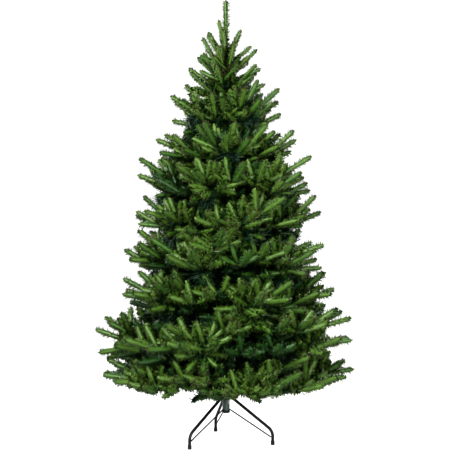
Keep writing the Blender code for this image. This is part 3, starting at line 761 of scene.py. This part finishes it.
def addFoil(heap, start, end, perMetre, rng, number=1):
    # number is the tier's, because the lowest tier's strips keep above the crown's limit
    length = (end - start).length
    count = int(perMetre * length)
    if count < 2:
        return
    axis = np.array((end - start).normalized())
    across = np.array((end - start).orthogonal().normalized())
    other = np.cross(axis, across)
    along = rng.random(count)
    around = rng.random(count) * math.tau
    spread = foil["spread"] + rng.uniform(-1, 1, count) * foil["spreadJitter"]
    out = np.cos(around)[:, None] * across + np.sin(around)[:, None] * other
    way = np.cos(spread)[:, None] * axis + np.sin(spread)[:, None] * out
    twist = rng.random(count) * math.tau
    side = np.cross(way, out)
    side /= np.linalg.norm(side, axis=1)[:, None] + 1e-9
    flat = np.cross(way, side)
    wide = np.cos(twist)[:, None] * side + np.sin(twist)[:, None] * flat
    base = np.array(start) + axis * (along * length)[:, None]
    size = foil["strip"] * rng.uniform(*foil["stripJitter"], count)[:, None]
    tones = (rng.random(count) < foil["glossShare"]).astype(int)
    half = np.where(tones, foil["glossWidth"], foil["width"])[:, None] / 2
    points = np.stack([base - wide * half, base + wide * half, base + way * size], 1)
    if number == 0:
        reach = np.hypot(points[..., 0], points[..., 1]).max(1)
        kept = points[..., 2].min(1) > underside(reach) + foil["aboveLimit"]
        points, tones = points[kept], tones[kept]
    heap.add(points, np.arange(len(points) * 3).reshape(-1, 3), tones)


# Colours. Each needle plastic is one plain colour, and every tip has a few of them

# injection-moulded polyethylene, matted in the mould: soft satin, no colour pattern within a needle
needleTones = {
    "moulded_pe_deep_green": "#15330a",
    "moulded_pe_leaf_green": "#2d4912",
    "moulded_pe_fresh_green": "#485d20",
    "moulded_pe_olive_green": "#5e7038",
    "moulded_pe_pine_green": "#0f2d0e",
    "moulded_pe_dry_green": "#454a20",
    "moulded_pe_straw_green": "#747a3c",
    "moulded_pe_body_green": "#39511a",
}
matted = {"IOR": 1.5, "Specular IOR Level": 0.35}
needleMaterials = [
    makeMaterial(name, colour, 0.48, (1.2, 0.05), more=matted) for name, colour in needleTones.items()
]

# slit polyvinyl chloride foil: the dark strips are nearly matt, their dark green taken near black as painted
# shade inside the crown, and the pale ones glint by their gloss and by a paler colour that partly paints the
# glint
dulled = {"IOR": 1.53, "Specular IOR Level": 0.2}
foilDark = makeMaterial("slit_pvc_foil_dark", "#0a2213", 0.6, (2.0, 0.04), more=dulled)
foilGloss = makeMaterial("slit_pvc_foil_pale", "#2c5440", 0.35, (2.0, 0.04), more={"IOR": 1.53})

# steel wire wound with brown crepe tape: matt and mottled, with fine level creases
wrapTape = makeMaterial("brown_tape_wrapped_wire", "#634937", 0.8, (1.5, 0.15, (1, 1, 3)),
                        ("#4d382a", "#7d604a"), {"IOR": 1.46})
# moulded polyethylene of the tips' stems and end buds: olive brown, satin
stemPlastic = makeMaterial("moulded_pe_stem", "#3a3a1c", 0.55, (1.0, 0.05), more={"IOR": 1.5})
budPlastic = makeMaterial("moulded_pe_bud", "#3c3a1c", 0.55, (1.0, 0.05), more={"IOR": 1.5})


# Crown, tier by tier

print("crown")
shapeRng = np.random.default_rng(crown["seed"])
tipShapes = {}
for build, slimness in needle["slimness"].items():
    for kind, length in tipLengths.items():
        for fineness in needle["width"]:
            shapes = [makeTip(length, slimness, fineness, shapeRng) for shape in range(shapesPerLength)]
            tipShapes[build, kind, fineness] = shapes


def newHeaps():
    # what each tier is gathered in
    return {"needles": Heap(), "foil": Heap(), "twigs": Heap()}


def finishHeaps(heaps, label, replaced):
    twigMaterials = [wrapTape, stemPlastic, budPlastic]
    heaps["needles"].piece(f"tips_{label}", needleMaterials, "needles", replaced)
    heaps["foil"].piece(f"foil_{label}", [foilDark, foilGloss], "needles")
    heaps["twigs"].piece(f"twigs_{label}", twigMaterials, "wrapped_wire", smoothAngle=50)


def growFan(heaps, number, bough):
    rng = random.Random(crown["seed"] + 100 * number + bough)
    boughs = crown["boughsInTier"][number]
    heading = math.tau * bough / boughs + crown["tierTurn"] * (number % 2)
    space = (number, heading, math.pi / boughs)
    reach = tierOf(number)[0]
    start = placeIn(space, 0, fan["collarRadius"], 0)
    end = placeIn(space, 0, reach, 0)
    sprayLength = min(fan["sprayLength"], fan["mostOfReach"] * reach)
    for corner in range(fan["innerCorners"]):
        rng.random()
    looks = random.Random(crown["seed"] * 7 + 100 * number + bough)
    liftShift = fan["liftShifts"][(2 * bough + number) % len(fan["liftShifts"])]
    sprays = list(sideSprays(space, start, end, sprayLength, liftShift, rng, looks))
    build = "lower" if number < fan["upperFrom"] else "upper"
    grain = np.random.default_rng(crown["seed"] + 1000 * number + bough)
    stemEnd = end - (end - start).normalized() * fan["stemEndsBefore"]
    steps = fan["stemSteps"]
    stem = [start.lerp(stemEnd, at / steps) for at in range(steps + 1)]
    radii = [fan["stemRadius"] - fan["stemTaper"] * at / steps for at in range(steps + 1)]
    addTube(heaps["twigs"], stem, radii, 6, 0, ridge=fan["tapeRidge"])
    mostTips = fan["mostTips"][number]
    growHand(heaps, start, end, 1.0, 0.0, number, build, mostTips, looks, openness=1)
    foilFrom, foilTo = (start.lerp(end, share) for share in fan["stemFoil"])
    addFoil(heaps["foil"], foilFrom, foilTo, foil["perMetreStem"], grain, number)
    for place, (foot, tip, share, lift) in enumerate(sprays):
        sideTips = min(fan["sideTips"][place], mostTips)
        openness = int(np.sign(fan["sideTips"][place] - fan["middleTips"]))
        if openness < 0:
            tip = foot.lerp(tip, 1 - fan["behind"] * reach / (tip - foot).length)
        kind = "long" if (tip - foot).length > fan["longFrom"] and openness == 1 else "middle"
        palm = growHand(heaps, foot, tip, share, lift, number, build, sideTips, looks, kind, "fine", openness)
        wrapped = fan["wrapRadii"] if openness == 1 else fan["twigRadii"]
        addTube(heaps["twigs"], [foot, foot.lerp(palm, fan["palmShare"]), palm], wrapped, 5, 0)
        addFoil(heaps["foil"], foot, foot.lerp(tip, fan["twigFoil"]), foil["perMetreTwig"], grain, number)
    for turn, share, lift in fan["innerHands"]:
        lift += liftShift * fan["innerShift"]
        if number == 0 and lift < -fan["farLift"]:
            lift -= fan["lowestHang"]
        turn += looks.uniform(-fan["innerTurn"], fan["innerTurn"])
        tip = placeIn(space, turn, reach * share, lift)
        foot = start.lerp(end, share - fan["innerFoot"])
        sideTips = fan["innerTips"]
        palm = growHand(heaps, foot, tip, share, lift, number, build, sideTips, looks, "middle", "coarse")
        addTube(heaps["twigs"], [foot, palm], fan["innerRadii"], 5, 0)
        addFoil(heaps["foil"], foot, foot.lerp(tip, fan["twigFoil"]), foil["perMetreTwig"], grain, number)
    stemWay = (end - start).normalized()
    level = stemWay.cross(upward).normalized()
    raised = level.cross(stemWay)
    ahead, out = fan["foilWay"]
    shortest, more = fan["foilReach"]
    for share, lengthShare, around in fan["foilTwigs"]:
        turned = math.radians(around + looks.uniform(-fan["foilTurn"], fan["foilTurn"]))
        way = stemWay * ahead + (raised * math.cos(turned) + level * math.sin(turned)) * out
        foot = start.lerp(end, share)
        reaching = (shortest + more * lengthShare) * min(1.0, reach / foil["fullReach"])
        addFoil(heaps["foil"], foot, foot + way * reaching, foil["perMetreTwig"], grain, number)


for number, boughs in enumerate(crown["boughsInTier"]):
    heaps = newHeaps()
    for bough in range(boughs):
        growFan(heaps, number, bough)
    names = [f"foliage_tier{number + 1}_{bough + 1}" for bough in range(boughs)]
    if number == 0:
        names += [f"bough_{bough + 1}" for bough in range(boughs)]
    finishHeaps(heaps, f"tier{number + 1}", names)


# Leader: an upright stem of tips with whorls round it

print("leader")
heaps = newHeaps()
rng = random.Random(crown["seed"])
looks = random.Random(crown["seed"] * 7)
grain = np.random.default_rng(crown["seed"])
for corner in range(fan["innerCorners"]):
    rng.random()
top = Vector((0, 0, crown["height"]))
waist = Vector((0, 0, leader["waist"]))
foot = Vector((0, 0, leader["foot"]))
for level, lengths, which, tones in leader["uprightTips"]:
    shape = tipShapes["upper", "middle", "fine"][which]
    place = (top if level == "top" else waist) - upward * shape["length"] * lengths
    placeTip(heaps, shape, place, upward, 0.0, 1.0, tones)
for number, (height, reach, tipHeight, sideTips) in enumerate(leader["whorls"] + leader["fillers"]):
    for spray in range(leader["whorlSprays"]):
        heading = math.tau * (spray + 0.5 * (number % 2)) / leader["whorlSprays"]
        heading += rng.uniform(-leader["turnJitter"], leader["turnJitter"])
        radius = reach * rng.uniform(*leader["reachJitter"])
        tip = roundPlace(heading, radius, tipHeight + leader["lifts"][spray % 2])
        rng.uniform(0, math.tau)  # the solids' rule draws each spray's roll here
        start = Vector((0, 0, height))
        palm = growHand(heaps, start, tip, 1.0, 0.0, crown["tiers"], "leader", sideTips, looks, "middle")
        addTube(heaps["twigs"], [start, palm], leader["twigRadii"], 5, 0)
        if height < leader["foilTo"]:
            addFoil(heaps["foil"], start, start.lerp(tip, fan["twigFoil"]), foil["perMetreTwig"], grain)
stem = [foot, waist, top - upward * leader["stemEndsBefore"]]
addTube(heaps["twigs"], stem, leader["stemRadii"], 8, 0)
addFoil(heaps["foil"], foot, Vector((0, 0, leader["foilTo"])), foil["perMetreStem"], grain)
finishHeaps(heaps, "leader", ["crown_top"])


# Pole: three sections that plug together, and a ring of hinge brackets for each tier

print("pole")
# enamelled steel tube: dark green, with a soft upright highlight
polePaint = makeMaterial("satin_enamel_dark_green", "#22382d", 0.42, (1.4, 0.02),
                         ("#1d3227", "#2a4236"), {"IOR": 1.5})
# blued sheet steel: dark metal, finely streaked where it was rolled
hingeSteel = makeMaterial("blued_hinge_steel", "#4b4e50", 0.40, (0.5, 0.01, (1, 1, 6)),
                          more={"Metallic": 0.9})

pole = {
    "base": 0.1503,
    "top": 1.57,
    "joints": (0.70, 1.16),
    "radii": (0.0150, 0.0125, 0.0100),
    "sides": 36,
    "lip": 0.0012,  # a section's rolled end stands out this far
    "lipDrops": (0.007, 0.006, 0.002),  # below the section's top
    "beadHeights": (0.012, 0.013, 0.014),  # above its foot
    "hubRadius": 0.024,
    "hubHeight": 0.018,
    "hubWaist": 0.0195,
    "flange": 0.0024,
    "plate": (0.0016, 0.017, 0.016),  # a hinge plate's thickness, length and height
    "plateReach": 0.0265,
    "plateGap": 0.0070,
    "pinReach": 0.004,
    "pinSides": (-0.010, -0.0095, 0.0095, 0.010),
    "pinRadii": (0.0012, 0.0017, 0.0017, 0.0012),
}
edge = 0.0006  # the bevel on turned rims

heap = Heap()
heights = (pole["base"], *pole["joints"], pole["top"])
profile = [(0.0, heights[0])]
lipFoot, lipLow, lipHigh = pole["lipDrops"]
beadLow, beadMiddle, beadHigh = pole["beadHeights"]
for low, high, radius in zip(heights, heights[1:], pole["radii"]):
    lip = radius + pole["lip"]
    profile += [
        (radius - edge, low), (radius, low + edge), (radius, low + beadLow), (lip - edge, low + beadMiddle),
        (radius, low + beadHigh), (radius, high - lipFoot), (lip, high - lipLow), (lip, high - lipHigh),
        (lip - edge, high - edge), (radius - edge, high),
    ]
profile.append((0.0, heights[-1]))
addLathe(heap, profile, pole["sides"], 0)
for number, boughs in enumerate(crown["boughsInTier"]):
    middle = surfaceHeight(number, pole["hubRadius"])
    low, high = middle - pole["hubHeight"] / 2, middle + pole["hubHeight"] / 2
    rim, waist, flange = pole["hubRadius"], pole["hubWaist"], pole["flange"]
    hub = [
        (0.0, low), (rim - edge, low), (rim, low + edge), (rim, low + flange - edge),
        (rim - edge, low + flange), (waist, low + flange + edge), (waist, high - flange - edge),
        (rim - edge, high - flange), (rim, high - flange + edge), (rim, high - edge), (rim - edge, high),
        (0.0, high),
    ]
    addLathe(heap, hub, pole["sides"], 0)
    for bough in range(boughs):
        heading = math.tau * bough / boughs + crown["tierTurn"] * (number % 2)
        outward = roundPlace(heading, 1, 0)
        sideways = outward.cross(upward)
        hinge = roundPlace(heading, pole["plateReach"], middle)
        for aside in (-pole["plateGap"], pole["plateGap"]):
            addBox(heap, hinge + sideways * aside, (sideways, outward, upward), pole["plate"], 1)
        pin = [hinge + outward * pole["pinReach"] + sideways * aside for aside in pole["pinSides"]]
        addTube(heap, pin, pole["pinRadii"], 8, 1)
heap.piece("pole_sections", [polePaint, hingeSteel], "pole", ["trunk"], smoothAngle=40)


# Stand: a sleeve round the pole's foot on three bent legs

print("stand")
# enamelled steel tube: satin, and a little greyer than the pole above it
sleevePaint = makeMaterial("satin_enamel_green_grey", "#2b3c38", 0.42, (1.2, 0.02),
                           ("#22322c", "#30423b"), {"IOR": 1.5})
# powder-coated steel: black, with a weak sheen and the powder's fine pits
legPaint = makeMaterial("satin_powder_coat_black", "#060607", 0.50, (0.8, 0.03),
                        ("#060708", "#101213"), {"IOR": 1.5, "Specular IOR Level": 0.22})
# moulded polypropylene: black and duller than the legs
footPlastic = makeMaterial("moulded_pp_black", "#080808", 0.6, (0.5, 0.04),
                           ("#090909", "#151515"), {"IOR": 1.49, "Specular IOR Level": 0.25})
# dull zinc plate on steel: pale grey metal with soft highlights
zincPlate = makeMaterial("dull_zinc_plate", "#8f9290", 0.38, (0.7, 0.01),
                         ("#7c807f", "#a3a6a3"), {"Metallic": 0.95})

stand = {
    "sleeveRadius": 0.0178,
    "sleeveBore": 0.0154,
    "sleeveHeights": (0.1503, 0.245),
    "sleeveSides": 40,
    "rim": 0.0010,  # the sleeve's rolled rim stands out this far
    "rimDrops": (0.005, 0.004, 0.0012),  # below the sleeve's top
    "legHeadings": (-137, -17, 103),  # left, right and back
    "stubRadius": 0.0055,
    "stubReach": 0.030,
    "stubHeight": 0.211,
    "stubLength": 0.017,
    "stubWeldAt": 0.0128,  # back from the stub's end
    "legRadius": 0.0070,
    "legSides": 20,
    "legBevel": 0.0008,
    "legEnd": 0.0045,  # above the floor, inside the foot
    "slope": math.radians(36.3),  # below the horizontal
    "straight": 0.030,  # of the leg, before its wide bend
    "bend": 0.050,
    "bendSteps": 14,
    "legRivetAt": 0.012,
    "footReach": 0.229,
    "footRadius": 0.0092,
    "footHeight": 0.018,
    "footSole": ((0.0014, 0.0), (0.0004, 0.0006), (0.0, 0.0018)),  # how far in and up its rounding goes
    "footRibs": (7, 0.005, 0.0015, 0.0005),  # how many steps, the first's height, their pitch and depth
    "footShoulder": ((0.0, 0.0014), (0.0007, 0.0)),
    "footMouth": (0.0002, 0.001),  # room round the leg, and the mouth's depth
    "strutRadius": 0.0031,
    "strutHeights": (0.1545, 0.036),
    "strutGaps": (0.0014, 0.0012),  # from the sleeve and from the leg
    "strutThinned": 0.8,  # at its ends
    "tab": (0.015, 0.0090, 0.0022),  # a strut's flattened end
    "tabAt": 0.006,  # in from the strut's end
    "boltHeight": 0.200,
    "boltRadius": 0.0024,
    "boltLength": 0.030,
    "boltInside": 0.002,  # of its length, in the nut
    "boltEye": 0.0085,
    "eyeWire": 0.0026,
    "boltTurn": 60,  # from the leg before it
    "thread": (0.00125, 0.0003),  # pitch and height
    "threadStep": 0.00021,
    "nutRadius": 0.0068,
    "nutReach": 0.0215,
    "nutDepth": 0.0060,
    "nutWeld": (0.0002, 0.0004),  # how far it lies inside the sleeve's surface and the nut's edge
    "capHeight": 0.012,
    "capRadius": 0.0186,
    "capGap": 0.0003,
    "capHollow": (0.45, 0.5, 0.0012),  # shares of the radius, and its depth
    "capSole": ((0.0030, 0.0), (0.0010, 0.0008), (0.0, 0.0024)),
    "capRibs": (5, 0.0035, 0.0012, 0.0004),  # as the foot's
    "weld": 0.0011,  # a bead's radius
    "weldOut": 0.0006,
    "rivet": (0.0030, 0.0014),  # radius and height of its head
}


def addRing(heap, loop, sides, tone):
    # a turned ring from a closed loop of (radius, height) pairs
    angle = np.arange(sides) * math.tau / sides
    rings = [np.stack([r * np.cos(angle), r * np.sin(angle), np.full(sides, h)], -1) for r, h in loop]
    heap.add(np.concatenate(rings), ringFaces(len(loop), sides, closed=True), tone)


def addRivet(heap, place, axis, tone):
    # a domed rivet head
    radius, height = stand["rivet"]
    dome = [(radius * math.cos(a), height * math.sin(a)) for a in (0, 0.5, 1.0, 1.35)]
    addLathe(heap, [(0.0, -height), (radius, -height), *dome, (0.0, height)], 14, tone, place, axis)


def ribsOn(radius, base, ribs):
    # a ribbed wall, where every second step stands back
    count, first, pitch, depth = ribs
    return [(radius - depth * (step % 2), base + first + pitch * step) for step in range(count)]


def legRoute(heading):
    # down the slope, round the wide bend and straight down into the foot
    slope, bend = stand["slope"], stand["bend"]
    corner = stand["stubHeight"] - (stand["footReach"] - stand["stubReach"]) * math.tan(slope)
    turn = math.pi / 2 - slope
    centreReach, centreHeight = stand["footReach"] - bend, corner - bend * math.tan(turn / 2)
    top = Vector((stand["stubReach"], stand["stubHeight"]))
    way = Vector((math.cos(slope), -math.sin(slope)))
    route = [top + way * at for at in (0, stand["legBevel"], stand["straight"])]
    for step in range(stand["bendSteps"]):
        angle = turn * (1 - step / (stand["bendSteps"] - 1))
        route.append(Vector((centreReach + bend * math.cos(angle), centreHeight + bend * math.sin(angle))))
    route.append(Vector((stand["footReach"], stand["legEnd"])))
    return [roundPlace(heading, reach, height) for reach, height in route]


sleeve, legs, feet, bolts = Heap(), Heap(), Heap(), Heap()
low, high = stand["sleeveHeights"]
outer, bore = stand["sleeveRadius"], stand["sleeveBore"]
rim = outer + stand["rim"]
rimFoot, rimLow, rimHigh = stand["rimDrops"]
addRing(sleeve, [
    (outer - edge, low), (outer, low + edge), (outer, high - rimFoot), (rim, high - rimLow),
    (rim, high - rimHigh), (outer, high), (bore + edge, high), (bore, high - edge), (bore, low),
], stand["sleeveSides"], 0)
for degrees in stand["legHeadings"]:
    heading = math.radians(degrees)
    outward, sideways = roundPlace(heading, 1, 0), roundPlace(heading + math.pi / 2, 1, 0)
    slope = stand["slope"]
    down = outward * math.cos(slope) - upward * math.sin(slope)
    stubEnd = roundPlace(heading, stand["stubReach"], stand["stubHeight"])
    stubStart = stubEnd - down * stand["stubLength"]
    addTube(sleeve, [stubStart, stubEnd], [stand["stubRadius"]] * 2, stand["legSides"], 0)
    weldAt = stubEnd - down * stand["stubWeldAt"]
    addTorus(sleeve, weldAt, down, stand["stubRadius"] + stand["weldOut"], stand["weld"], 0)
    route = legRoute(heading)
    radius = stand["legRadius"]
    radii = [radius - stand["legBevel"]] + [radius] * (len(route) - 1)
    addTube(legs, route, radii, stand["legSides"], 0)
    for side in (-1, 1):
        rivetAt = stubEnd + down * stand["legRivetAt"] + sideways * (side * radius)
        addRivet(legs, rivetAt, sideways * side, 0)
    # the cup on the leg's end
    foot = roundPlace(heading, stand["footReach"], 0)
    wide, tall = stand["footRadius"], stand["footHeight"]
    room, deep = stand["footMouth"]
    sole = [(wide - inward, height) for inward, height in stand["footSole"]]
    shoulder = [(wide - inward, tall - drop) for inward, drop in stand["footShoulder"]]
    mouth = [(radius + room, tall), (radius - deep, tall - deep), (0.0, tall - deep)]
    cup = [(0.0, 0.0), *sole, *ribsOn(wide, 0, stand["footRibs"]), *shoulder, *mouth]
    addLathe(feet, cup, 32, 0, foot)
    # the rod from the sleeve's foot to the leg, with a flattened and riveted end at each
    near, far = stand["strutHeights"]
    sleeveGap, legGap = stand["strutGaps"]
    start = roundPlace(heading, outer + sleeveGap, near)
    end = roundPlace(heading, stand["footReach"] - radius - legGap, far)
    way = (end - start).normalized()
    inset = way * stand["tabAt"]
    thin = stand["strutRadius"]
    thinned = thin * stand["strutThinned"]
    addTube(legs, [start, start + inset, end - inset, end], [thinned, thin, thin, thinned], 12, 0)
    across = way.cross(sideways)
    for place, aim in ((start, 1), (end, -1)):
        tabAt = place + way * (aim * stand["tabAt"])
        addBox(legs, tabAt, (way, sideways, across), stand["tab"], 0)
        for side in (1, -1):
            addRivet(legs, tabAt + across * (side * stand["tab"][2] / 2), across * side, 0)
    # the eye bolt between this leg and the next, in its welded nut
    heading = math.radians(degrees + stand["boltTurn"])
    outward = roundPlace(heading, 1, 0)
    height, reach = stand["boltHeight"], stand["nutReach"]
    nut, deep = stand["nutRadius"], stand["nutDepth"]
    addLathe(sleeve, [
        (0.0, -deep), (nut - edge, -deep), (nut, edge - deep),
        (nut, -2 * edge), (nut - 2 * edge, 0.0), (0.0, 0.0),
    ], 6, 0, roundPlace(heading, reach, height), outward)
    inSleeve, inNut = stand["nutWeld"]
    addTorus(sleeve, roundPlace(heading, outer - inSleeve, height), outward, nut - inNut, stand["weld"], 0)
    steps = np.arange(-stand["boltInside"], stand["boltLength"], stand["threadStep"])
    shank = [roundPlace(heading, reach + at, height) for at in steps]
    addTube(bolts, shank, [stand["boltRadius"]] * len(shank), 12, 0, ridge=stand["thread"])
    wire = stand["eyeWire"]
    eye = roundPlace(heading, reach + stand["boltLength"] + stand["boltEye"] - wire, height)
    addTorus(bolts, eye, roundPlace(heading + math.pi / 2, 1, 0), stand["boltEye"], wire, 0, 32, 12)
# the plug under the pole and the sleeve
top, wide = stand["sleeveHeights"][0] - stand["capGap"], stand["capRadius"]
bottom = top - stand["capHeight"]
hollowIn, hollowOut, deep = stand["capHollow"]
hollow = [(0.0, bottom + deep), (wide * hollowIn, bottom + deep), (wide * hollowOut, bottom)]
sole = [(wide - inward, bottom + height) for inward, height in stand["capSole"]]
brim = [(wide, top - edge), (wide - edge, top), (0.0, top)]
addLathe(feet, [*hollow, *sole, *ribsOn(wide, bottom, stand["capRibs"]), *brim], 40, 0)

sides = ("left", "right", "back")
legNodes = [f"{kind}_{side}" for kind in ("leg", "strut") for side in sides]
footNodes = [*[f"foot_{side}" for side in sides], "pole_cap"]
boltNodes = [f"eye_bolt_{side}" for side in sides]
sleeve.piece("sleeve_welded", [sleevePaint], "sleeve", ["stand_sleeve"], smoothAngle=40)
legs.piece("legs_and_struts", [legPaint], "stand", legNodes, smoothAngle=40)
feet.piece("feet_and_cap", [footPlastic], "black_plastic", footNodes, smoothAngle=40)
bolts.piece("bolts_threaded", [zincPlate], "bolts", boltNodes, smoothAngle=50)
